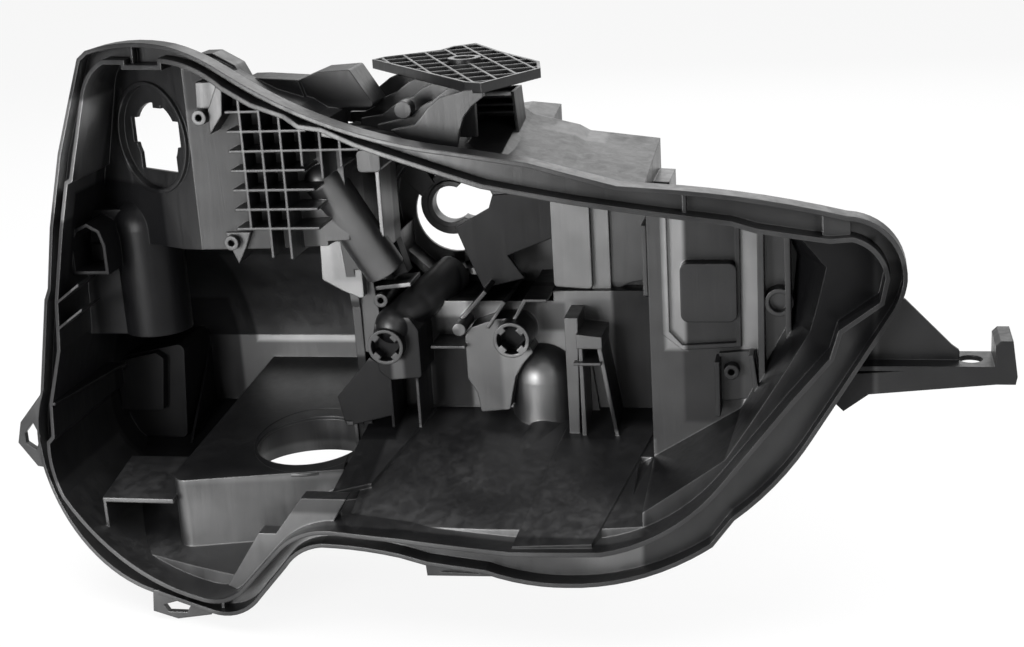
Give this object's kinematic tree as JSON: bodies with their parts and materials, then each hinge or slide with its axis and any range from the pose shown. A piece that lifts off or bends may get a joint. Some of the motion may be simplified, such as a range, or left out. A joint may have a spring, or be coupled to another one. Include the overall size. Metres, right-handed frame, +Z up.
{
  "type": "headlamp housing",
  "caption": "Moulded headlamp housing: deep open shell with a glue channel round its front, inner bosses and ribs, lamp openings and outside fixing brackets.",
  "frame": {"origin": "centre of the top fixing hole, on the top face of the bracket plate", "axes": "+X along the lamp towards its pointed end, +Y back from the open front, +Z up"},
  "size_m": [0.656, 0.2416, 0.3782],
  "materials": {
    "moulded_pp_black": "satin"
  },
  "bodies": {
    "root": {"headlamp_housing": "moulded_pp_black"}
  },
  "joints": []
}
